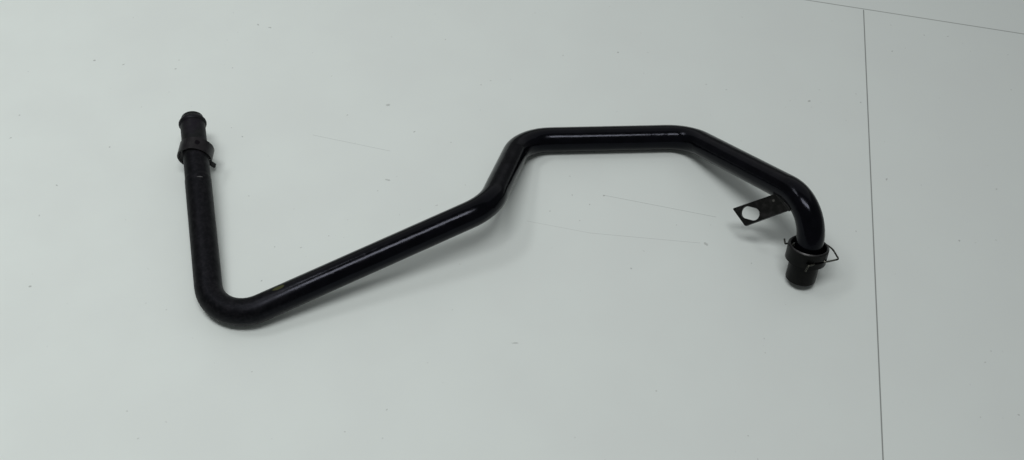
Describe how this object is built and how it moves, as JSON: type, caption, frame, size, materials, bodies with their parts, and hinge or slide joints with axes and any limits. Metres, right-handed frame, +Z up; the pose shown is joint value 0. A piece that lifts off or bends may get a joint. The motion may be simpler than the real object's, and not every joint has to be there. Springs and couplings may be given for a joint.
{
  "type": "coolant pipe",
  "caption": "Rigid bent steel coolant pipe with a beaded hose nipple, a welded slotted bracket and a push-on connector held by a wire clip; a spring band clamp hangs on the nipple.",
  "frame": {"origin": "bottom centre of the part's box, on the floor that the pipe lies on", "axes": "+X runs along the pipe from the hose nipple's side to the connector's side, +Y from the heel towards the nipple's tip, +Z up from the floor"},
  "size_m": [0.5018, 0.1949, 0.063],
  "materials": {
    "pipe_paint": "worn semi-gloss black paint",
    "bracket_paint": "scuffed semi-gloss black paint",
    "connector_plastic": "moulded glass-filled nylon, satin",
    "seal_rubber": "smooth",
    "clip_wire": "drawn spring wire, dulled",
    "clamp_steel": "dark phosphated spring steel"
  },
  "bodies": {
    "pipe": {"main_pipe": "pipe_paint", "mounting_bracket": "bracket_paint", "quick_connector": "connector_plastic", "seal_ring": "seal_rubber", "hose_clamp": "clamp_steel"},
    "clip": {"retaining_clip": "clip_wire"}
  },
  "joints": [
    {"name": "clip_pull", "type": "slide", "parent": "pipe", "child": "clip", "axis": [0.8964, 0.388, -0.2142], "range_m": [0, 0.003], "stiffness_N_per_m": 400}
  ]
}
